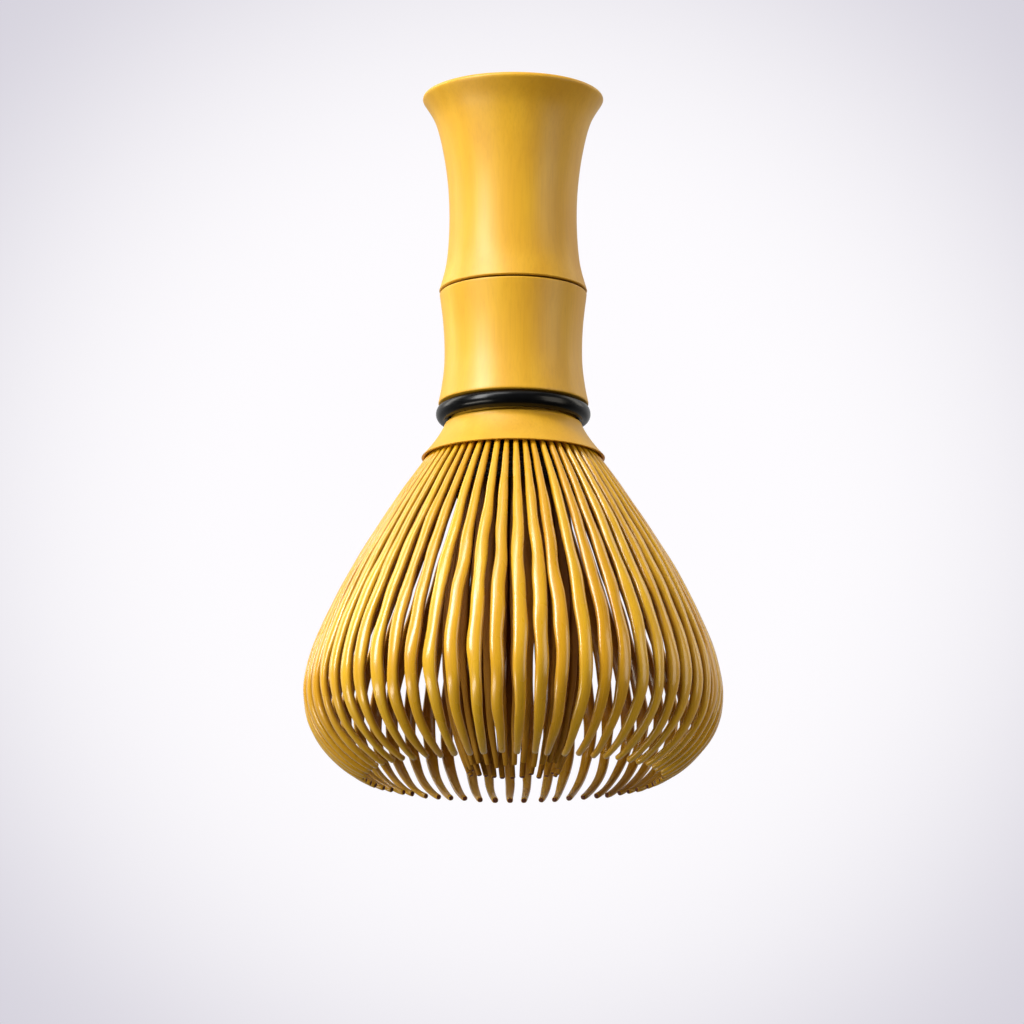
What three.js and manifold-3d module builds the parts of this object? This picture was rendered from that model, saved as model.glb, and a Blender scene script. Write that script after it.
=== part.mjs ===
// A bamboo tea whisk standing on the tips of its tines, in millimetres, +Z up.
// The origin is on the whisk's axis, in the plane that the outer tines stand on.
// Outlines are drawn in the half plane of the axis, as (radius, height), and turned or fanned about it.

import * as THREE from "three";
import { mergeVertices } from "three/addons/utils/BufferGeometryUtils.js";
import Module from "manifold-3d";

const wasm = await Module();
wasm.setup();

// Heights
const HEIGHT = 111.2;
const SEAM_Z = 78.6; // the dark line where the two handle sections meet
const SHOULDER_Z = 60.25; // lower end of the handle's visible surface
const RING_Z = 58.75; // middle of the binding
const CEILING_Z = 56.6; // over the tine roots
const LIP_Z = 51.6; // lower edge of the collar
const BELLY_Z = 13.4; // where the cage is widest

// Radii
const RIM_R = 14.5;
const RIM_ROUND = 0.6;
const SEAM_R = 11.78;
const BORE_R = 7.6; // of the hollow culm
const TENON_R = 8.1;
const TENON_BORE_R = 6.0;
const RING_R = 11.2; // middle of the binding's section
const NECK_R = 9.85; // under the binding
const LIP_R = 14.55;
const LIP_WALL = 0.35;
const BELLY_R = 33;
const TIP_R = 22.9;

const GAP = 0.3; // left between pieces that touch
const HALF_GAP = GAP / 2;
const TURNED_SIDES = 40;

// Staves and their tines. Width and thickness are at the root, the widest part and the tip, bellyAt is the
// share of the length where the tine is widest, and from is the share that stays inside the unsplit band.
const OUTER_STAVES = 20;
const OUTER_TINES_PER_STAVE = 3;
const INNER_STAVES = 10;
const INNER_TINES_PER_STAVE = 3;
const OUTER_TINE = {
  width: [0.6, 2.25, 0.85], thickness: [0.9, 1.35, 0.85], bellyAt: 0.72, from: 0.04, steps: 9,
};
const INNER_TINE = {
  width: [0.8, 1.5, 0.75], thickness: [1.0, 0.9, 0.7], bellyAt: 0.6, from: 0.05, steps: 6,
};
const OUTER_BAND = { thickness: 1.25, steps: 2 };
const INNER_BAND = { thickness: 1.25, steps: 1 };
const TOWARDS_TIP = 1.5; // over 1, a bar's sections crowd towards its lower end, where it curls
// Where the first stave of each row stands: a quarter of the outer tines' pitch from the front, so that the
// tines at the back show between the ones at the front.
const FIRST_STAVE = THREE.MathUtils.degToRad(-88.5);

const BAMBOO = { color: 0xd9a92f, roughness: 0.42, metalness: 0 };
const BAMBOO_CUT = { color: 0xc8962a, roughness: 0.6, metalness: 0 };
const BAMBOO_INSIDE = { color: 0x8a5a1c, roughness: 0.8, metalness: 0 };
const BINDING = { color: 0x0b0b0d, roughness: 0.3, metalness: 0 };

const group = new THREE.Group();

const point = (r, z) => new THREE.Vector2(r, z);

// Where the centrelines of the two rows of tines start.
const OUTER_ROOT = point(9.05, CEILING_Z - GAP - 0.35);
const INNER_ROOT = point(7.15, CEILING_Z - GAP);

function addPiece(name, geometry, finish) {
  const mesh = new THREE.Mesh(geometry, new THREE.MeshStandardMaterial(finish));
  mesh.name = name;
  group.add(mesh);
  return mesh;
}

// Turns a closed outline about the axis.
function turned(outline) {
  const closed = [...outline, outline[0].clone()];
  const geometry = new THREE.LatheGeometry(closed, TURNED_SIDES);
  return geometry.rotateX(Math.PI / 2);
}

// Points along a smooth curve through the given places.
function smooth(places, count) {
  return new THREE.SplineCurve(places).getPoints(count);
}

function ellipse(r, z, halfWidth, halfHeight, count) {
  const points = new THREE.EllipseCurve(r, z, halfWidth, halfHeight).getPoints(count);
  return points.slice(0, count);
}

// The upper culm section: a tube that flares to a rounded rim, open at the top.
function upperHandle() {
  const foot = SEAM_Z + HALF_GAP;
  const flank = smooth(
    [point(SEAM_R, foot), point(10.66, 83.5), point(10.21, 89.5), point(10.38, 95.8),
      point(11.2, 101.9), point(12.5, 107), point(RIM_R - 0.08, HEIGHT - 0.8)],
    9,
  );
  const rimCentre = point(RIM_R - RIM_ROUND, HEIGHT - RIM_ROUND);
  const rim = new THREE.EllipseCurve(rimCentre.x, rimCentre.y, RIM_ROUND, RIM_ROUND, 0, Math.PI / 2);
  const mouth = [point(BORE_R + 1, HEIGHT), point(BORE_R + 0.3, HEIGHT - 0.3), point(BORE_R, HEIGHT - 1)];
  return turned([point(BORE_R, foot), ...flank, ...rim.getPoints(3), ...mouth]);
}

// The lower culm section: waisted, with a shoulder that the binding sits under and a hollow tenon.
function lowerHandle() {
  const top = SEAM_Z - HALF_GAP;
  const socketFloor = 72;
  const flank = smooth(
    [point(11.93, SHOULDER_Z + 0.3), point(11.45, 63), point(11.02, 66.5), point(10.97, 70.2),
      point(11.2, 74), point(SEAM_R, top)],
    7,
  );
  const tenon = [point(TENON_BORE_R, CEILING_Z), point(TENON_R, CEILING_Z), point(TENON_R, SHOULDER_Z)];
  const socket = [point(BORE_R, top), point(BORE_R, socketFloor), point(TENON_BORE_R, socketFloor)];
  return turned([...tenon, point(11.65, SHOULDER_Z), ...flank, ...socket]);
}

// The node's diaphragm, inside the bore, where it closes the handle and joins its two sections.
function nodePlug() {
  const r = BORE_R - GAP;
  const foot = 72.3;
  const top = 84;
  const dish = 0.8;
  return turned([
    point(0, foot), point(r, foot), point(r, top), point(r * 0.5, top - dish), point(0, top - dish),
  ]);
}

// The binding: a smooth cord in the groove between the shoulder and the collar.
function bindingRing() {
  return turned(ellipse(RING_R, RING_Z, 1.05, 1.25, 10));
}

// The collar: a sleeve on the tenon that carries the binding, flaring to a thin lip over the tine roots.
function collar() {
  const top = SHOULDER_Z - GAP;
  const outside = new THREE.QuadraticBezierCurve(point(LIP_R, LIP_Z), point(12.2, 54.1), point(11, 56.6));
  const inside = new THREE.QuadraticBezierCurve(
    point(10.4, CEILING_Z), point(11.8, 54.1), point(LIP_R - LIP_WALL, LIP_Z - 0.1),
  );
  const sleeve = [point(10.85, 57), point(NECK_R, 57.1), point(NECK_R, top), point(TENON_R + GAP, top)];
  return turned([
    ...outside.getPoints(4), ...sleeve, point(TENON_R + GAP, CEILING_Z), ...inside.getPoints(3),
  ]);
}

// The core that wedges the inner roots, with a spigot up the tenon's bore.
function rootCore() {
  const r = 6.2;
  const spigotR = TENON_BORE_R - GAP;
  const shoulder = CEILING_Z - GAP;
  return turned([
    point(0, 49.5), point(4.4, 49.5), point(r, 51), point(r, shoulder),
    point(spigotR, shoulder), point(spigotR, 64), point(0, 64),
  ]);
}

// The winding of thread between the two rows of tines, which keeps them apart.
function spreaderThread() {
  return turned(ellipse(10.6, 49.2, 1.9, 2.8, 8));
}

// The centreline of an outer tine: its root under the collar, the long flank, and the curl to the tip.
function outerLine() {
  const lip = point(13.4, 51.2);
  const belly = point(BELLY_R - OUTER_TINE.thickness[1] / 2, BELLY_Z);
  const tip = point(TIP_R, OUTER_TINE.thickness[2] / 2);
  const line = new THREE.CurvePath();
  line.add(new THREE.QuadraticBezierCurve(OUTER_ROOT, point(10.4, 53.95), lip));
  line.add(new THREE.CubicBezierCurve(lip, point(21.4, 40.3), point(belly.x, BELLY_Z + 9.1), belly));
  line.add(new THREE.CubicBezierCurve(belly, point(belly.x, BELLY_Z - 8.5), point(TIP_R + 1, tip.y), tip));
  return line;
}

// The stretch of an outer stave that is left unsplit, all of it under the collar.
function outerBandLine() {
  return new THREE.QuadraticBezierCurve(OUTER_ROOT, point(10.4, 53.95), point(12.15, 52.3));
}

// The centreline of an inner tine, which swells out in the middle and closes in again at the tip.
function innerLine() {
  return new THREE.CubicBezierCurve(INNER_ROOT, point(INNER_ROOT.x, 42), point(15.5, 20), point(6.8, 0.8));
}

function innerBandLine() {
  return new THREE.LineCurve(INNER_ROOT, point(INNER_ROOT.x, 51.2));
}

// A value that goes from the root's to the widest part's and on to the tip's.
function along([root, belly, tip], bellyAt, u) {
  if (u < bellyAt) return THREE.MathUtils.lerp(root, belly, u / bellyAt);
  return THREE.MathUtils.lerp(belly, tip, (u - bellyAt) / (1 - bellyAt));
}

// A bar that follows a line in the (radius, height) plane, with its sides cut along radii.
// It starts at the share from of the line. angleAt gives the angle it spans about the axis.
function bar(line, from, steps, across, angleAt, thicknessAt) {
  const box = new THREE.BoxGeometry(1, 1, 1, 1, across, steps);
  box.deleteAttribute("normal");
  box.deleteAttribute("uv");
  const places = box.getAttribute("position");
  for (let i = 0; i < places.count; i++) {
    const u = 1 - (1 - from) * (0.5 + places.getZ(i)) ** TOWARDS_TIP;
    const centre = line.getPointAt(u);
    const down = line.getTangentAt(u);
    const out = places.getX(i) * thicknessAt(u);
    const r = centre.x - down.y * out;
    const angle = places.getY(i) * angleAt(u, centre.x);
    places.setXYZ(i, r * Math.cos(angle), r * Math.sin(angle), centre.y + down.x * out);
  }
  return mergeVertices(box);
}

function tine(line, size) {
  const angleAt = (u, r) => along(size.width, size.bellyAt, u) / r;
  const thicknessAt = (u) => along(size.thickness, size.bellyAt, u);
  return bar(line, size.from, size.steps, 1, angleAt, thicknessAt);
}

function toSolid(geometry) {
  return new wasm.Manifold(new wasm.Mesh({
    numProp: 3,
    vertProperties: geometry.getAttribute("position").array,
    triVerts: new Uint32Array(geometry.index.array),
  }));
}

function toGeometry(solid) {
  const mesh = solid.getMesh();
  const geometry = new THREE.BufferGeometry();
  geometry.setAttribute("position", new THREE.BufferAttribute(mesh.vertProperties, 3));
  geometry.setIndex(new THREE.BufferAttribute(mesh.triVerts, 1));
  return geometry;
}

// A stave: an unsplit band with its tines side by side below it, centred on angle 0.
function stave(line, size, bandLine, band, tineCount, pitch) {
  const smallestR = bandLine.getPoint(0).x - band.thickness / 2;
  const bandAngle = tineCount * pitch - GAP / smallestR;
  const root = bar(bandLine, 0, band.steps, tineCount, () => bandAngle, () => band.thickness);
  let solid = toSolid(root);
  for (let i = 0; i < tineCount; i++) {
    const angle = (i - (tineCount - 1) / 2) * pitch;
    solid = solid.add(toSolid(tine(line, size).rotateZ(angle)));
  }
  return toGeometry(solid);
}

function addStaves(prefix, geometry, count) {
  for (let i = 0; i < count; i++) {
    const name = prefix + "_" + String(i + 1).padStart(2, "0");
    addPiece(name, geometry, BAMBOO_CUT).rotation.z = FIRST_STAVE + (i * 2 * Math.PI) / count;
  }
}

function outerStave() {
  const pitch = (2 * Math.PI) / (OUTER_STAVES * OUTER_TINES_PER_STAVE);
  return stave(outerLine(), OUTER_TINE, outerBandLine(), OUTER_BAND, OUTER_TINES_PER_STAVE, pitch);
}

function innerStave() {
  const pitch = (2 * Math.PI) / (INNER_STAVES * INNER_TINES_PER_STAVE);
  return stave(innerLine(), INNER_TINE, innerBandLine(), INNER_BAND, INNER_TINES_PER_STAVE, pitch);
}

addPiece("handle_upper", upperHandle(), BAMBOO);
addPiece("handle_lower", lowerHandle(), BAMBOO);
addPiece("node_plug", nodePlug(), BAMBOO_INSIDE);
addPiece("binding_ring", bindingRing(), BINDING);
addPiece("collar", collar(), BAMBOO);
addPiece("root_core", rootCore(), BAMBOO_INSIDE);
addPiece("spreader_thread", spreaderThread(), BINDING);
addStaves("outer_stave", outerStave(), OUTER_STAVES);
addStaves("inner_stave", innerStave(), INNER_STAVES);

export default group;
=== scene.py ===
"""A bamboo tea whisk seen from slightly below, floating over a pale floor in soft studio light.

Lengths are in millimetres, turned into Blender's metres by MM. Outlines are (radius, height) pairs.
"""

import math
import random

import bpy
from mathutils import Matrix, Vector

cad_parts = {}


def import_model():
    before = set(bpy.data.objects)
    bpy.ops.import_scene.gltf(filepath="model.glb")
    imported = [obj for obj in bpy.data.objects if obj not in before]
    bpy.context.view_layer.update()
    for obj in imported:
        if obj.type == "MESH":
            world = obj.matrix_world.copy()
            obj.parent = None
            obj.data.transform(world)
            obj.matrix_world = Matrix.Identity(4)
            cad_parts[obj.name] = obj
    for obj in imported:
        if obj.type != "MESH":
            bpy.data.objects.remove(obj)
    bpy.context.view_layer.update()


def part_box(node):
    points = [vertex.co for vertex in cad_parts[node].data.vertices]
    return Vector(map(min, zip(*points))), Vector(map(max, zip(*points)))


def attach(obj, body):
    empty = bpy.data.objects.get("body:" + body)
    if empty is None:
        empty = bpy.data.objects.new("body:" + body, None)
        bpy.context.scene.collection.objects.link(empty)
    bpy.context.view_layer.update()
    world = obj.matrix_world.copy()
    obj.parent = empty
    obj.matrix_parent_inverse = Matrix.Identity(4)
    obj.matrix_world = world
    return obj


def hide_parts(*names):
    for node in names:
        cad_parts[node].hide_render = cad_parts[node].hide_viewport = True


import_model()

MM = 0.001


def node_box(node):
    """A CAD node's lowest and highest corners, in millimetres."""
    low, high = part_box(node)
    return Vector(low) / MM, Vector(high) / MM


# Driving sizes, read from the CAD frame.
UPPER_LOW, UPPER_HIGH = node_box("handle_upper")
LOWER_LOW, LOWER_HIGH = node_box("handle_lower")
PLUG_LOW, PLUG_HIGH = node_box("node_plug")
RING_LOW, RING_HIGH = node_box("binding_ring")
COLLAR_HIGH = node_box("collar")[1]
CORE_LOW, CORE_HIGH = node_box("root_core")
THREAD_LOW, THREAD_HIGH = node_box("spreader_thread")
HEIGHT = UPPER_HIGH.z
RIM_R = UPPER_HIGH.x
SEAM_TOP = UPPER_LOW.z
SEAM_FOOT = LOWER_HIGH.z
CEILING_Z = LOWER_LOW.z
SHOULDER_R, SHOULDER_Z = 11.93, 60.25
RING_R, RING_Z = 11.2, (RING_LOW.z + RING_HIGH.z) / 2
LIP_R, LIP_Z = COLLAR_HIGH.x, 51.6
RIM_ROUND = 0.6
SEAM_R = 11.78
BORE_R = 7.6
TENON_R, TENON_BORE_R = 8.1, 6.0
NECK_R = 9.85
BELLY_R, BELLY_Z = 33, 13.4
TIP_R = 22.9

OUTER_STAVES, OUTER_TINES = 20, 3
INNER_STAVES, INNER_TINES = 10, 3
FIRST_STAVE = math.radians(-88.5)
OUTER_SEED, INNER_SEED = 1, 5
BAND_THICKNESS = 1.2
TURNED_SIDES = 160

BACKDROP_EDGE = (215, 212, 222)
BACKDROP_MIDDLE = (254, 252, 255)


# ---------------------------------------------------------------- curves


def bezier(points, t):
    """A point on the Bezier curve with these control points."""
    while len(points) > 1:
        points = [a.lerp(b, t) for a, b in zip(points, points[1:])]
    return points[0]


def bezier_points(points, count):
    controls = [Vector(p) for p in points]
    return [bezier(controls, i / count) for i in range(count + 1)]


def smooth(places, count):
    """Points along a uniform Catmull-Rom curve through the given places."""
    places = [Vector(p) for p in places]
    last = len(places) - 1
    found = []
    for i in range(count + 1):
        at = last * i / count
        k = min(int(at), last - 1)
        t = at - k
        p1, p2 = places[k], places[k + 1]
        p0 = places[k - 1] if k > 0 else p1
        p3 = places[k + 2] if k + 2 <= last else p2
        v0, v1 = (p2 - p0) / 2, (p3 - p1) / 2
        found.append(
            (2 * p1 - 2 * p2 + v0 + v1) * t**3 + (3 * p2 - 3 * p1 - 2 * v0 - v1) * t**2 + v0 * t + p1
        )
    return found


def arc(r, z, half_width, half_height, start, stop, count):
    """Points on an ellipse, from one angle to another in degrees."""
    angles = [math.radians(start + (stop - start) * i / count) for i in range(count + 1)]
    return [Vector((r + half_width * math.cos(a), z + half_height * math.sin(a))) for a in angles]


class Line:
    """A smooth line in the (radius, height) plane, measured by its own length."""

    def __init__(self, points):
        self.points = [Vector(p) for p in points]
        self.far = [0.0]
        for a, b in zip(self.points, self.points[1:]):
            self.far.append(self.far[-1] + (b - a).length)
        self.length = self.far[-1]

    def at(self, u):
        """The point at share u of the length, and the direction there."""
        goal = min(max(u, 0), 1) * self.length
        k = 0
        while k < len(self.far) - 2 and self.far[k + 1] < goal:
            k += 1
        a, b = self.points[k], self.points[k + 1]
        share = (goal - self.far[k]) / (self.far[k + 1] - self.far[k])
        before = self.points[max(k - 1, 0)]
        after = self.points[min(k + 2, len(self.points) - 1)]
        direction = (b - before).lerp(after - a, share).normalized()
        return a.lerp(b, share), direction


# ---------------------------------------------------------------- meshes


def make_object(name, verts, faces, materials, face_materials, sharp=35):
    mesh = bpy.data.meshes.new(name)
    mesh.from_pydata([Vector(v) * MM for v in verts], [], faces)
    for material in materials:
        mesh.materials.append(material)
    mesh.polygons.foreach_set("material_index", face_materials)
    mesh.polygons.foreach_set("use_smooth", [True] * len(mesh.polygons))
    mesh.set_sharp_from_angle(angle=math.radians(sharp))
    mesh.validate()
    thing = bpy.data.objects.new(name, mesh)
    bpy.context.scene.collection.objects.link(thing)
    return thing


def stands_for(piece, slot, *nodes):
    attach(piece, "root")
    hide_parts(*nodes)
    return piece


def turned(name, outline, materials, material_of=None, sides=TURNED_SIDES, swell=None):
    """Turns a closed outline about the axis. swell(angle, z) scales the radius a little."""
    verts, rows = [], []
    for r, z in outline:
        if r < 1e-6:
            rows.append([len(verts)] * sides)
            verts.append((0, 0, z))
            continue
        rows.append(list(range(len(verts), len(verts) + sides)))
        for i in range(sides):
            angle = 2 * math.pi * i / sides
            grown = r * (swell(angle, z) if swell else 1)
            verts.append((grown * math.cos(angle), grown * math.sin(angle), z))
    faces, slots = [], []
    for k in range(len(rows)):
        below, above = rows[k], rows[(k + 1) % len(rows)]
        if len(set(below)) == 1 and len(set(above)) == 1:
            continue
        for i in range(sides):
            j = (i + 1) % sides
            ring = [below[i], below[j], above[j], above[i]]
            faces.append(list(dict.fromkeys(ring)))
            slots.append(material_of(k) if material_of else 0)
    return make_object(name, verts, faces, materials, slots)


def section(count, squareness):
    """Points round a superellipse one unit across, as (out, sideways) pairs."""
    found = []
    for i in range(count):
        angle = 2 * math.pi * i / count
        c, s = math.cos(angle), math.sin(angle)
        power = 2 / squareness
        found.append(
            (math.copysign(abs(c) ** power, c) / 2, math.copysign(abs(s) ** power, s) / 2)
        )
    return found


# ---------------------------------------------------------------- materials


class Nodes:
    """Short calls for building one material's nodes."""

    def __init__(self, name):
        self.material = bpy.data.materials.new(name)
        self.material.use_nodes = True
        self.tree = self.material.node_tree
        self.shader = self.tree.nodes["Principled BSDF"]

    def add(self, kind, settings=None, **inputs):
        node = self.tree.nodes.new(kind)
        for key, value in (settings or {}).items():
            setattr(node, key, value)
        for key, value in inputs.items():
            self.put(node.inputs[key.replace("_", " ")], value)
        return node

    def put(self, socket, value):
        if isinstance(value, bpy.types.NodeSocket):
            self.tree.links.new(value, socket)
        else:
            socket.default_value = value

    def coords(self, scale, output="Object"):
        source = self.add("ShaderNodeTexCoord").outputs[output]
        mapping = self.add("ShaderNodeMapping", Vector=source, Scale=scale)
        return mapping.outputs["Vector"]

    def noise(self, vector, scale, detail, roughness):
        node = self.add(
            "ShaderNodeTexNoise", Vector=vector, Scale=scale, Detail=detail, Roughness=roughness
        )
        return node.outputs["Fac"]

    def remap(self, value, low, high, to_low, to_high):
        node = self.add(
            "ShaderNodeMapRange",
            Value=value, From_Min=low, From_Max=high, To_Min=to_low, To_Max=to_high,
        )
        return node.outputs["Result"]

    def blend(self, factor, a, b):
        node = self.add("ShaderNodeMix", {"data_type": "RGBA"})
        self.put(node.inputs[0], factor)
        self.put(node.inputs[6], a)
        self.put(node.inputs[7], b)
        return node.outputs[2]

    def bump(self, height, distance, strength, normal=None):
        node = self.add("ShaderNodeBump", Height=height, Distance=distance, Strength=strength)
        if normal is not None:
            self.put(node.inputs["Normal"], normal)
        return node.outputs["Normal"]


def linear(red, green, blue):
    """A colour given as 0 to 255 in sRGB, as linear RGBA."""
    found = []
    for value in (red, green, blue):
        v = value / 255
        found.append(v / 12.92 if v <= 0.04045 else ((v + 0.055) / 1.055) ** 2.4)
    return (*found, 1.0)


def skin_material():
    """The smoothed and oiled outside of the culm: fine vertical fibres, broad faint streaks and mottling."""
    n = Nodes("bamboo_skin")
    fibres = n.noise(n.coords((1, 1, 0.03)), 3200, 4, 0.6)
    streaks = n.noise(n.coords((1, 1, 0.08)), 420, 3, 0.5)
    mottle = n.noise(n.coords((1, 1, 0.6)), 110, 2, 0.5)
    colour = n.blend(n.remap(streaks, 0.3, 0.7, 0, 1), linear(222, 167, 34), linear(230, 178, 46))
    colour = n.blend(n.remap(mottle, 0.35, 0.75, 0, 0.5), colour, linear(208, 148, 27))
    colour = n.blend(n.remap(fibres, 0.45, 0.75, 0, 0.18), colour, linear(170, 112, 22))
    n.put(n.shader.inputs["Base Color"], colour)
    n.put(n.shader.inputs["Roughness"], n.remap(mottle, 0.3, 0.7, 0.40, 0.50))
    n.put(n.shader.inputs["Normal"], n.bump(fibres, 0.00002, 0.35, n.bump(streaks, 0.00008, 0.3)))
    n.shader.inputs["Specular IOR Level"].default_value = 0.5
    n.shader.inputs["Coat Weight"].default_value = 0.06
    n.shader.inputs["Coat Roughness"].default_value = 0.3
    return n.material


def end_grain_material():
    """The cut end of the culm: pale ground with dark fibre ends, closer together towards the skin."""
    n = Nodes("bamboo_end_grain")
    at = n.coords((1, 1, 1))
    cells = n.add("ShaderNodeTexVoronoi", {"feature": "F1"}, Vector=at, Scale=1500.0, Randomness=0.9)
    dots = n.remap(cells.outputs["Distance"], 0.18, 0.34, 1, 0)
    ground = n.noise(at, 260, 3, 0.5)
    colour = n.blend(n.remap(ground, 0.3, 0.7, 0, 1), linear(226, 184, 92), linear(205, 158, 66))
    colour = n.blend(dots, colour, linear(120, 74, 24))
    n.put(n.shader.inputs["Base Color"], colour)
    n.shader.inputs["Roughness"].default_value = 0.62
    n.put(n.shader.inputs["Normal"], n.bump(dots, 0.00003, 0.4))
    return n.material


def inside_material():
    """The bore and the pieces inside: rough, brown and fibrous."""
    n = Nodes("bamboo_inside")
    fibres = n.noise(n.coords((1, 1, 0.05)), 1800, 4, 0.6)
    stains = n.noise(n.coords((1, 1, 0.5)), 160, 3, 0.55)
    colour = n.blend(n.remap(fibres, 0.35, 0.7, 0, 1), linear(176, 124, 52), linear(128, 82, 30))
    colour = n.blend(n.remap(stains, 0.4, 0.8, 0, 0.7), colour, linear(92, 54, 20))
    n.put(n.shader.inputs["Base Color"], colour)
    n.shader.inputs["Roughness"].default_value = 0.78
    n.put(n.shader.inputs["Normal"], n.bump(fibres, 0.00006, 0.5))
    return n.material


def tine_material(name, dark, light, stain, polish_and_root_light):
    """Split and shaved bamboo. Each tine has its own tone, and fibres run along it.

    Faces turned towards the axis are browner, and the less polished a tine is, the darker it is towards its
    root.
    Both are painted shade, standing in for the shade between the two rows.
    """
    n = Nodes(name)
    tone = n.add("ShaderNodeAttribute", {"attribute_name": "tone"}).outputs["Fac"]
    side = n.add("ShaderNodeAttribute", {"attribute_name": "side"}).outputs["Fac"]
    fibres = n.noise(n.coords((5.0, 0.22, 1), "UV"), 1.0, 3, 0.6)
    patches = n.noise(n.coords((0.3, 0.16, 1), "UV"), 1.0, 2, 0.5)
    height = n.add("ShaderNodeSeparateXYZ", Vector=n.coords((1, 1, 1))).outputs["Z"]
    low_down = n.remap(height, 0.024, 0.002, 0, 0.4)
    colour = n.blend(tone, dark, light)
    colour = n.blend(n.remap(patches, 0.35, 0.75, 0, 0.6), colour, stain)
    colour = n.blend(low_down, colour, linear(190, 152, 36))
    colour = n.blend(n.remap(fibres, 0.5, 0.8, 0, 0.3), colour, linear(150, 94, 16))
    # Painted shade: the faces turned towards the axis are browner.
    colour = n.blend(side, colour, linear(146, 82, 6))
    # Painted shade: darker towards the root, the more so the less polished the tine.
    root_shade = n.remap(height, 0.02, 0.045, 0, 0.8 * (1 - polish_and_root_light))
    colour = n.blend(root_shade, colour, linear(64, 34, 5))
    n.put(n.shader.inputs["Base Color"], colour)
    roughness = 0.6 - 0.34 * polish_and_root_light
    n.put(n.shader.inputs["Roughness"], n.remap(patches, 0.3, 0.7, roughness - 0.04, roughness + 0.08))
    n.put(n.shader.inputs["Normal"], n.bump(fibres, 0.00002, 0.2))
    n.shader.inputs["Specular IOR Level"].default_value = 0.2 + 0.3 * polish_and_root_light
    n.shader.inputs["Coat Weight"].default_value = 0.4 * polish_and_root_light
    n.shader.inputs["Coat Roughness"].default_value = 0.15
    return n.material


def tine_end_material():
    """The blunt cut ends of the tines, dried dark brown."""
    n = Nodes("bamboo_tine_end")
    speckle = n.noise(n.coords((1, 1, 1)), 4200, 3, 0.6)
    colour = n.blend(n.remap(speckle, 0.35, 0.65, 0, 1), linear(112, 54, 14), linear(70, 30, 8))
    n.put(n.shader.inputs["Base Color"], colour)
    n.shader.inputs["Roughness"].default_value = 0.7
    n.put(n.shader.inputs["Normal"], n.bump(speckle, 0.00003, 0.4))
    return n.material


def binding_material():
    """Smooth black cord, slightly glossy, with a faint waxy unevenness."""
    n = Nodes("black_binding")
    wax = n.noise(n.coords((1, 1, 1)), 700, 3, 0.55)
    fine = n.noise(n.coords((1, 1, 1)), 5200, 2, 0.5)
    colour = n.blend(n.remap(wax, 0.3, 0.7, 0, 1), linear(4, 4, 5), linear(9, 10, 12))
    n.put(n.shader.inputs["Base Color"], colour)
    n.put(n.shader.inputs["Roughness"], n.remap(wax, 0.3, 0.7, 0.22, 0.26))
    n.shader.inputs["Specular IOR Level"].default_value = 0.22
    n.put(n.shader.inputs["Normal"], n.bump(fine, 0.000012, 0.12))
    return n.material


def thread_material():
    """Matt black cotton thread."""
    n = Nodes("black_thread")
    fuzz = n.noise(n.coords((1, 1, 1)), 6000, 4, 0.6)
    colour = n.blend(n.remap(fuzz, 0.3, 0.7, 0, 1), linear(10, 10, 11), linear(30, 29, 31))
    n.put(n.shader.inputs["Base Color"], colour)
    n.shader.inputs["Roughness"].default_value = 0.9
    n.shader.inputs["Sheen Weight"].default_value = 0.2
    n.put(n.shader.inputs["Normal"], n.bump(fuzz, 0.00004, 0.5))
    return n.material


SKIN = skin_material()
END_GRAIN = end_grain_material()
INSIDE = inside_material()
OUTER_TINE = tine_material(
    "bamboo_tine",
    dark=linear(214, 152, 18), light=linear(236, 184, 40), stain=linear(220, 160, 16), polish_and_root_light=1,
)
# The inner row uses darker copies of the tine colours: painted shade between the two rows.
INNER_TINE = tine_material(
    "bamboo_inner_tine_painted_shade",
    dark=linear(150, 90, 8), light=linear(176, 110, 14), stain=linear(124, 68, 6), polish_and_root_light=0,
)
TINE_END = tine_end_material()
BINDING = binding_material()
THREAD = thread_material()


# ---------------------------------------------------------------- handle


def culm_swell(angle, z):
    """The faint unroundness of a real culm."""
    return 1 + 0.0022 * math.sin(3 * angle + 0.04 * z) + 0.0012 * math.sin(7 * angle - 0.09 * z)


def upper_handle():
    edge = 0.25
    outside = smooth(
        [(SEAM_R, SEAM_TOP + edge), (10.66, 83.5), (10.21, 89.5), (10.38, 95.8), (11.2, 101.9),
         (12.5, 107), (RIM_R - 0.08, HEIGHT - 0.8)],
        60,
    )
    rim = arc(RIM_R - RIM_ROUND, HEIGHT - RIM_ROUND, RIM_ROUND, RIM_ROUND, 0, 90, 10)
    mouth = arc(BORE_R + 1, HEIGHT - 1, 1, 1, 90, 180, 8)
    foot = [Vector((BORE_R, SEAM_TOP)), Vector((SEAM_R - 2 * edge, SEAM_TOP))]
    bead = arc(SEAM_R - edge, SEAM_TOP + edge, edge + 0.03, edge, -90, -10, 5)
    outline = foot + bead + outside + rim + mouth
    cut_from = len(foot) + len(bead) + len(outside) + len(rim) - 1

    def material_of(k):
        if cut_from <= k < cut_from + 6:
            return 1
        if k >= cut_from + 6 or k == 0:
            return 2
        return 0

    piece = turned("upper_culm", outline, [SKIN, END_GRAIN, INSIDE], material_of, swell=culm_swell)
    return stands_for(piece, "bamboo_skin", "handle_upper")


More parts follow.
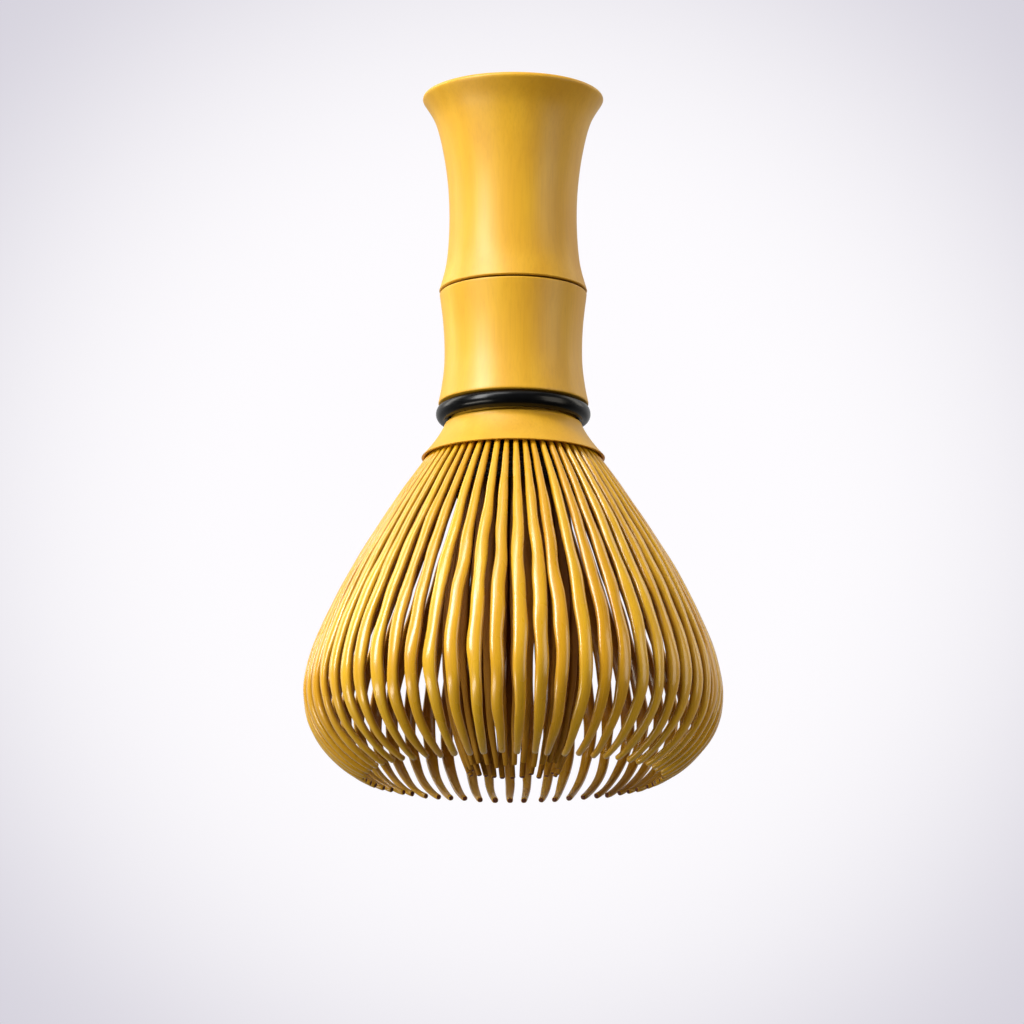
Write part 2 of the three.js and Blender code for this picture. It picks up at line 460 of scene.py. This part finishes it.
def lower_handle():
    edge = 0.2
    socket_floor = 72
    tenon = [
        Vector((TENON_BORE_R, CEILING_Z)),
        Vector((TENON_R, CEILING_Z)),
        Vector((TENON_R, SHOULDER_Z)),
    ]
    hem = arc(SHOULDER_R - edge, SHOULDER_Z + edge, edge, edge, -90, 0, 4)
    outside = smooth(
        [(SHOULDER_R, SHOULDER_Z + 0.3), (11.45, 63), (11.02, 66.5), (10.97, 70.2), (11.2, 74),
         (SEAM_R - 0.06, SEAM_FOOT - edge)],
        44,
    )
    shoulder = arc(SEAM_R - 0.06 - edge, SEAM_FOOT - edge, edge, edge, 10, 90, 5)
    socket = [
        Vector((BORE_R, SEAM_FOOT)),
        Vector((BORE_R, socket_floor)),
        Vector((TENON_BORE_R, socket_floor)),
    ]
    outline = tenon + hem + outside + shoulder + socket
    skin_from = len(tenon) - 1
    skin_to = skin_from + len(hem) + len(outside) + len(shoulder)

    def material_of(k):
        return 0 if skin_from <= k < skin_to else 1

    piece = turned("lower_culm", outline, [SKIN, INSIDE], material_of, swell=culm_swell)
    return stands_for(piece, "bamboo_skin", "handle_lower")


def node_diaphragm():
    """The dished wall inside the bore, thick at its rim, with the pith scar in the middle."""
    r = PLUG_HIGH.x
    top = PLUG_HIGH.z
    dish = bezier_points([(r, top), (r * 0.6, top - 0.2), (r * 0.45, top - 1.4), (0, top - 0.8)], 24)
    outline = [Vector((0, PLUG_LOW.z)), Vector((r, PLUG_LOW.z))] + dish
    piece = turned("node_diaphragm", outline, [INSIDE], sides=96)
    return stands_for(piece, "bamboo_inside", "node_plug")


def collar():
    lip_wall = 0.35
    ceiling = CEILING_Z
    outside = bezier_points([(LIP_R, LIP_Z), (12.2, 54.1), (11, 56.6)], 28)
    sleeve = bezier_points([(11, 56.6), (10.95, 57.25), (NECK_R + 0.3, 57.28)], 6)[1:]
    neck = [
        Vector((NECK_R, 57.3)),
        Vector((NECK_R, COLLAR_HIGH.z)),
        Vector((TENON_R + 0.3, COLLAR_HIGH.z)),
    ]
    lip_inside = (LIP_R - lip_wall, LIP_Z - 0.1)
    inside = bezier_points([(10.4, ceiling), (11.8, 54.1), lip_inside], 16)
    lip = bezier_points([lip_inside, (LIP_R - 0.05, LIP_Z - 0.12), (LIP_R, LIP_Z)], 5)[1:-1]
    outline = outside + sleeve + neck + [Vector((TENON_R + 0.3, ceiling))] + inside + lip
    hidden_from = len(outside) + len(sleeve) + 1
    hidden_to = hidden_from + 3 + len(inside) // 2

    def material_of(k):
        return 1 if hidden_from <= k < hidden_to else 0

    piece = turned("flared_collar", outline, [SKIN, INSIDE], material_of)
    return stands_for(piece, "bamboo_skin", "collar")


def binding():
    half_width, half_height = 1.08, 1.32
    outline = arc(RING_R, RING_Z, half_width, half_height, 0, 360, 40)[:-1]
    piece = turned("black_binding_cord", outline, [BINDING])
    return stands_for(piece, "binding", "binding_ring")


def root_core():
    spigot = CORE_LOW.z + 6.8
    outline = [
        (0, CORE_LOW.z), (4.2, CORE_LOW.z), (4.9, 49.8), (6.0, 50.9), (6.2, 51.3), (6.2, spigot - 0.2),
        (6.0, spigot), (5.7, spigot), (5.7, CORE_HIGH.z - 0.2), (5.5, CORE_HIGH.z), (0, CORE_HIGH.z),
    ]
    piece = turned("root_core_plug", [Vector(p) for p in outline], [INSIDE], sides=96)
    return stands_for(piece, "bamboo_inside", "root_core")


# ---------------------------------------------------------------- thread


def spreader():
    """Thread wound round and round between the two rows, every turn lying beside the last."""
    middle_r = 10.6
    middle_z = (THREAD_LOW.z + THREAD_HIGH.z) / 2
    half_width, half_height = 1.55, 2.45
    turns, points_a_turn = 20, 7
    thread_bulge = 0.34
    outline = []
    for k in range(turns * points_a_turn):
        angle = 2 * math.pi * k / (turns * points_a_turn)
        bulge = thread_bulge * abs(math.sin(turns * angle / 2))
        r = middle_r + (half_width + bulge) * math.cos(angle)
        z = middle_z + (half_height + bulge) * math.sin(angle)
        outline.append(Vector((r, z)))
    piece = turned("spreader_winding", outline, [THREAD])
    return stands_for(piece, "thread", "spreader_thread")


# ---------------------------------------------------------------- tines


def along(values, belly_at, u):
    """Goes from the root's value to the belly's and on to the tip's, easing through the belly."""
    root, belly, tip = values
    if u < belly_at:
        return root + (belly - root) * math.sin(math.pi / 2 * u / belly_at)
    t = (u - belly_at) / (1 - belly_at)
    return belly + (tip - belly) * t**1.3


class Waves:
    """A smooth wandering about zero, the same each run for the same random source."""

    def __init__(self, source, size, lengths):
        self.terms = []
        for i, length in enumerate(lengths):
            height = size * source.uniform(0.5, 1) / (i + 1) ** 0.5
            start = source.uniform(0, 2 * math.pi)
            self.terms.append((height, 2 * math.pi / length, start))

    def at(self, s):
        return sum(height * math.sin(rate * s + start) for height, rate, start in self.terms)


OUTER_ROOT = (9.05, CEILING_Z - 0.65)
INNER_ROOT = (7.15, CEILING_Z - 0.3)
ROOT_BEND = (10.4, 53.95)
OUTER_BAND_FOOT = (12.15, 52.3)
INNER_BAND_FOOT = (INNER_ROOT[0], 51.2)


def outer_line():
    belly_r = BELLY_R - 0.65
    lip = (13.4, 51.2)
    tip_z = 0.43
    root = bezier_points([OUTER_ROOT, ROOT_BEND, lip], 12)
    flank = bezier_points([lip, (21.4, 40.3), (belly_r, BELLY_Z + 9.1), (belly_r, BELLY_Z)], 60)
    curl = bezier_points(
        [(belly_r, BELLY_Z), (belly_r, BELLY_Z - 8.5), (TIP_R + 1, tip_z), (TIP_R, tip_z)], 40
    )
    return Line(root + flank[1:] + curl[1:])


def inner_line():
    return Line(bezier_points([INNER_ROOT, (INNER_ROOT[0], 42), (15.5, 20), (6.8, 0.8)], 60))


# Width and thickness are at the root, at the widest place and at the tip. The rest are shares of the length,
# except steps, a count, sway, in millimetres, and squareness, 2 for a round section.
OUTER = {
    "line": outer_line(), "width": (0.46, 2.25, 0.95), "thickness": (0.85, 1.35, 0.86), "belly_at": 0.72,
    "from": 0.03, "steps": 80, "sway": 0.15, "squareness": 2.3, "shortest": 0.99,
}
INNER = {
    "line": inner_line(), "width": (1.3, 1.7, 0.8), "thickness": (1.0, 0.9, 0.7), "belly_at": 0.6,
    "from": 0.03, "steps": 48, "sway": 0.12, "squareness": 2.3, "shortest": 0.975,
}
SECTION_POINTS = 16
# How much painted shade browns a tine's inner face, where across its thickness that starts and over how much
# of it it grows.
SIDE_SHADE = 0.8
SHADE_FROM, SHADE_OVER = 0.36, 0.5
# Towards the tip the painted shade fades by this share, from one share of the length and over the next.
FADE, FADE_FROM, FADE_OVER = 0.75, 0.7, 0.2
# Each tine's wandering: the lengths of its waves in millimetres, and the size of the two that aren't sway.
SIDEWAYS_WAVES, OUTWARDS_WAVES = (34, 18, 10), (40, 17)
OUTWARDS_SHARE = 0.5
FATNESS, FATNESS_WAVES = 0.06, (19, 8)
TWIST, TWIST_WAVES = 0.2, (46, 19)
SPACING_WANDER = 0.06
GRAIN_OFFSET = 400
# A tine starts to wander at one share of its length, and the wandering grows over the next.
FREE_FROM, FREE_OVER = 0.1, 0.45
# From this share on, in the curl, it wanders only this much as far in and out.
CURL_FROM, CURL_SWAY = 0.8, 0.4
# The end's chamfer is so long, and the end face is this share of the size before it.
END_CHAMFER, END_SHARE = 0.12, 0.8


class Stave:
    """Collects one stave's band and tines into a single mesh."""

    def __init__(self):
        self.verts, self.faces, self.slots, self.tones, self.sides, self.uvs = [], [], [], [], [], []

    def ring(self, points, sides, tone, distance, girth):
        first = len(self.verts)
        self.verts += points
        self.sides += sides
        self.tones += [tone] * len(points)
        self.uvs += [(girth * k / len(points), distance) for k in range(len(points))]
        return list(range(first, first + len(points)))

    def skin(self, rings, slot_of_last):
        for below, above in zip(rings, rings[1:]):
            count = len(below)
            for k in range(count):
                m = (k + 1) % count
                self.faces.append((below[k], above[k], above[m], below[m]))
                self.slots.append(0)
        self.faces.append(tuple(rings[0]))
        self.slots.append(0)
        self.faces.append(tuple(reversed(rings[-1])))
        self.slots.append(slot_of_last)

    def tine(self, size, angle, source):
        line = size["line"]
        shape = section(SECTION_POINTS, size["squareness"])
        sideways = Waves(source, size["sway"], SIDEWAYS_WAVES)
        outwards = Waves(source, size["sway"] * OUTWARDS_SHARE, OUTWARDS_WAVES)
        fatness = Waves(source, FATNESS, FATNESS_WAVES)
        turn = Waves(source, TWIST, TWIST_WAVES)
        tone = source.random()
        offset = source.uniform(0, GRAIN_OFFSET)
        end = source.uniform(size["shortest"], 1)
        rings = []
        start, steps = size["from"], size["steps"]
        stations = [start + (end - start) * i / steps for i in range(steps + 1)]
        chamfer = END_CHAMFER / line.length
        stations[-1:] = [end - chamfer, end]
        for i, u in enumerate(stations):
            centre, down = line.at(u)
            free = min(max((u - FREE_FROM) / FREE_OVER, 0), 1)
            distance = u * line.length
            grown = (1 + fatness.at(distance)) * (END_SHARE if i == len(stations) - 1 else 1)
            width = along(size["width"], size["belly_at"], u) * grown
            thickness = along(size["thickness"], size["belly_at"], u) * grown
            twist = turn.at(distance) * free
            side = sideways.at(distance) * free
            out = outwards.at(distance) * free * (1 if u < CURL_FROM else CURL_SWAY)
            # Painted shade, browning the faces turned towards the axis, weaker towards the tip.
            shade = SIDE_SHADE * (1 - FADE * min(max((u - FADE_FROM) / FADE_OVER, 0), 1))
            points, sides = [], []
            for a, b in shape:
                sides.append(min(max((SHADE_FROM - a) / SHADE_OVER, 0), 1) * shade)
                x, y = a * thickness, b * width
                x, y = x * math.cos(twist) - y * math.sin(twist), x * math.sin(twist) + y * math.cos(twist)
                x, y = x + out, y + side
                r = centre.x - down.y * x
                z = max(centre.y + down.x * x, 0.0)
                c, s = math.cos(angle), math.sin(angle)
                points.append((r * c - y * s, r * s + y * c, z))
            rings.append(self.ring(points, sides, tone, distance + offset, 2 * (width + thickness)))
        self.skin(rings, 1)

    def band(self, centre_line, thickness, half_angle, angle, tone):
        """The unsplit root above the tines: a bent bar with rounded corners."""
        points_round, squareness = 28, 8
        steps, step_length, girth = 10, 0.6, 6.0
        shape = section(points_round, squareness)
        rings = []
        for i in range(steps + 1):
            centre, down = centre_line.at(i / steps)
            points = []
            for a, b in shape:
                x = a * thickness
                r = centre.x - down.y * x
                turn = angle + 2 * b * half_angle
                points.append((r * math.cos(turn), r * math.sin(turn), centre.y + down.x * x))
            rings.append(self.ring(points, [0] * len(points), tone, i * step_length, girth))
        self.skin(rings, 0)

    def finish(self, name, material):
        piece = make_object(name, self.verts, self.faces, [material, TINE_END], self.slots, sharp=50)
        mesh = piece.data
        for attribute, values in (("tone", self.tones), ("side", self.sides)):
            mesh.attributes.new(attribute, "FLOAT", "POINT").data.foreach_set("value", values)
        layer = mesh.uv_layers.new(name="along")
        for loop in mesh.loops:
            layer.data[loop.index].uv = self.uvs[loop.vertex_index]
        return piece


def add_staves(prefix, node_prefix, size, material, staves, tines, band_line, seed):
    pitch = 2 * math.pi / (staves * tines)
    gap = 0.3
    half_angle = (tines * pitch - gap / (band_line.at(0)[0].x - BAND_THICKNESS / 2)) / 2
    for i in range(staves):
        source = random.Random(seed * 1000 + i)
        middle = FIRST_STAVE + i * tines * pitch
        stave = Stave()
        stave.band(band_line, BAND_THICKNESS, half_angle, middle, source.random())
        for k in range(tines):
            wander = source.uniform(-SPACING_WANDER, SPACING_WANDER) * pitch
            stave.tine(size, middle + (k - (tines - 1) / 2) * pitch + wander, source)
        number = f"{i + 1:02d}"
        piece = stave.finish(f"{prefix}_{number}", material)
        stands_for(piece, "bamboo_tine", f"{node_prefix}_{number}")


def all_staves():
    outer_band = Line(bezier_points([OUTER_ROOT, ROOT_BEND, OUTER_BAND_FOOT], 12))
    inner_band = Line([INNER_ROOT, INNER_BAND_FOOT])
    add_staves(
        "outer_tines", "outer_stave", OUTER, OUTER_TINE, OUTER_STAVES, OUTER_TINES, outer_band, OUTER_SEED
    )
    add_staves(
        "inner_tines", "inner_stave", INNER, INNER_TINE, INNER_STAVES, INNER_TINES, inner_band, INNER_SEED
    )


# ---------------------------------------------------------------- studio

CAMERA_SIDE = -0.0002
CAMERA_AIM_Z = 0.0429
CAMERA_RISE = 12.2
CAMERA_DISTANCE = 0.855
CAMERA_LENS = 190
FLOOR_Z = -0.165
# The room's strength in front, behind and below, and between which directions it changes.
ROOM_FRONT, ROOM_BACK, ROOM_BELOW = 0.14, 0.8, 0.5
ROOM_TURN = (-0.1, 0.7)
ROOM_SINK = (-0.3, 0.15)
# The glow's edge and its full part, in degrees from the camera's line of sight.
BACKDROP_GLOW = (7.8, 2.6)


def camera():
    data = bpy.data.cameras.new("camera")
    data.lens = CAMERA_LENS
    data.sensor_width = 36
    data.clip_start = 0.01
    thing = bpy.data.objects.new("camera", data)
    rise = math.radians(CAMERA_RISE)
    aim = Vector((CAMERA_SIDE, 0, CAMERA_AIM_Z))
    look = Vector((0, math.cos(rise), math.sin(rise)))
    thing.location = aim - look * CAMERA_DISTANCE
    thing.rotation_mode = "QUATERNION"
    thing.rotation_quaternion = look.to_track_quat("-Z", "Y")
    bpy.context.scene.collection.objects.link(thing)
    bpy.context.scene.camera = thing


def softbox(name, azimuth, elevation, distance, width, height, power, colour=(1, 1, 1)):
    """A rectangular light aimed at the whisk. Azimuth 0 is the camera's side, positive to its right."""
    middle_of_whisk = Vector((0, 0, 0.055))
    data = bpy.data.lights.new(name, "AREA")
    data.shape = "RECTANGLE"
    data.size, data.size_y = width, height
    data.energy = power
    data.color = colour
    thing = bpy.data.objects.new(name, data)
    a, e = math.radians(azimuth), math.radians(elevation)
    back = Vector((math.sin(a) * math.cos(e), -math.cos(a) * math.cos(e), math.sin(e)))
    thing.location = middle_of_whisk + back * distance
    thing.rotation_mode = "QUATERNION"
    thing.rotation_quaternion = (-back).to_track_quat("-Z", "Y")
    bpy.context.scene.collection.objects.link(thing)


def lights():
    """Distance, width and height are in metres, and power in watts."""
    softbox("key_left", azimuth=-54, elevation=34, distance=0.9, width=0.3, height=0.6, power=10.0)
    softbox("low_left", azimuth=-58, elevation=-22, distance=1.0, width=0.7, height=0.2, power=4.0,
            colour=(1, 0.95, 0.84))
    softbox("fill_right", azimuth=62, elevation=10, distance=1.0, width=0.6, height=0.8, power=4.2,
            colour=(1, 0.92, 0.78))
    softbox("overhead", azimuth=0, elevation=80, distance=0.9, width=0.7, height=0.7, power=0.8)
    softbox("high_left", azimuth=-32, elevation=60, distance=0.9, width=0.3, height=0.25, power=2.0)
    softbox("edge_left", azimuth=-118, elevation=30, distance=0.9, width=0.25, height=0.6, power=1.9,
            colour=(1, 0.97, 0.9))
    softbox("edge_right", azimuth=118, elevation=30, distance=0.9, width=0.25, height=0.6, power=0.9,
            colour=(1, 0.93, 0.8))


def world():
    """The camera sees a plain pale backdrop, brightest behind the whisk.

    The whisk itself is lit by a room that is bright behind it, dim in front and darker below.
    """
    scene_world = bpy.data.worlds.new("studio")
    scene_world.use_nodes = True
    tree = scene_world.node_tree
    tree.nodes.clear()

    def add(kind, **settings):
        node = tree.nodes.new(kind)
        for key, value in settings.items():
            setattr(node, key, value)
        return node

    def ramp(value, low, high, to_low, to_high):
        node = add("ShaderNodeMapRange", interpolation_type="SMOOTHSTEP")
        tree.links.new(value, node.inputs["Value"])
        node.inputs["From Min"].default_value = low
        node.inputs["From Max"].default_value = high
        node.inputs["To Min"].default_value = to_low
        node.inputs["To Max"].default_value = to_high
        return node.outputs["Result"]

    direction = add("ShaderNodeTexCoord").outputs["Generated"]
    axes = add("ShaderNodeSeparateXYZ")
    tree.links.new(direction, axes.inputs[0])
    room_strength = add("ShaderNodeMath", operation="MULTIPLY")
    front_to_back = ramp(axes.outputs["Y"], *ROOM_TURN, ROOM_FRONT, ROOM_BACK)
    below_to_above = ramp(axes.outputs["Z"], *ROOM_SINK, ROOM_BELOW, 1)
    tree.links.new(front_to_back, room_strength.inputs[0])
    tree.links.new(below_to_above, room_strength.inputs[1])
    room = add("ShaderNodeBackground")
    tree.links.new(room_strength.outputs[0], room.inputs["Strength"])

    rise = math.radians(CAMERA_RISE)
    facing = add("ShaderNodeVectorMath", operation="DOT_PRODUCT")
    tree.links.new(direction, facing.inputs[0])
    facing.inputs[1].default_value = (0, math.cos(rise), math.sin(rise))
    glow = add("ShaderNodeMix", data_type="RGBA")
    edge, centre = (math.cos(math.radians(angle)) for angle in BACKDROP_GLOW)
    tree.links.new(ramp(facing.outputs["Value"], edge, centre, 0, 1), glow.inputs[0])
    glow.inputs[6].default_value = linear(*BACKDROP_EDGE)
    glow.inputs[7].default_value = linear(*BACKDROP_MIDDLE)
    backdrop = add("ShaderNodeBackground")
    tree.links.new(glow.outputs[2], backdrop.inputs["Color"])

    mix = add("ShaderNodeMixShader")
    tree.links.new(add("ShaderNodeLightPath").outputs["Is Camera Ray"], mix.inputs[0])
    tree.links.new(room.outputs[0], mix.inputs[1])
    tree.links.new(backdrop.outputs[0], mix.inputs[2])
    tree.links.new(mix.outputs[0], add("ShaderNodeOutputWorld").inputs["Surface"])
    bpy.context.scene.world = scene_world
    bpy.context.scene.view_settings.view_transform = "Standard"


def floor():
    """A plain pale floor below the camera, partly self-lit. It casts no shadow and lights nothing."""
    half = 6.0
    mesh = bpy.data.meshes.new("floor")
    corners = [(-half, -half, FLOOR_Z), (half, -half, FLOOR_Z), (half, half, FLOOR_Z), (-half, half, FLOOR_Z)]
    mesh.from_pydata(corners, [], [(0, 1, 2, 3)])
    n = Nodes("pale_floor")
    n.shader.inputs["Base Color"].default_value = linear(92, 91, 94)
    n.shader.inputs["Roughness"].default_value = 0.9
    n.shader.inputs["Specular IOR Level"].default_value = 0
    n.shader.inputs["Emission Color"].default_value = linear(*BACKDROP_EDGE)
    n.shader.inputs["Emission Strength"].default_value = 0.9
    mesh.materials.append(n.material)
    thing = bpy.data.objects.new("floor", mesh)
    thing.visible_diffuse = False
    thing.visible_glossy = False
    thing.visible_shadow = False
    bpy.context.scene.collection.objects.link(thing)


camera()
world()
lights()
floor()
upper_handle()
lower_handle()
node_diaphragm()
collar()
binding()
root_core()
spreader()
all_staves()
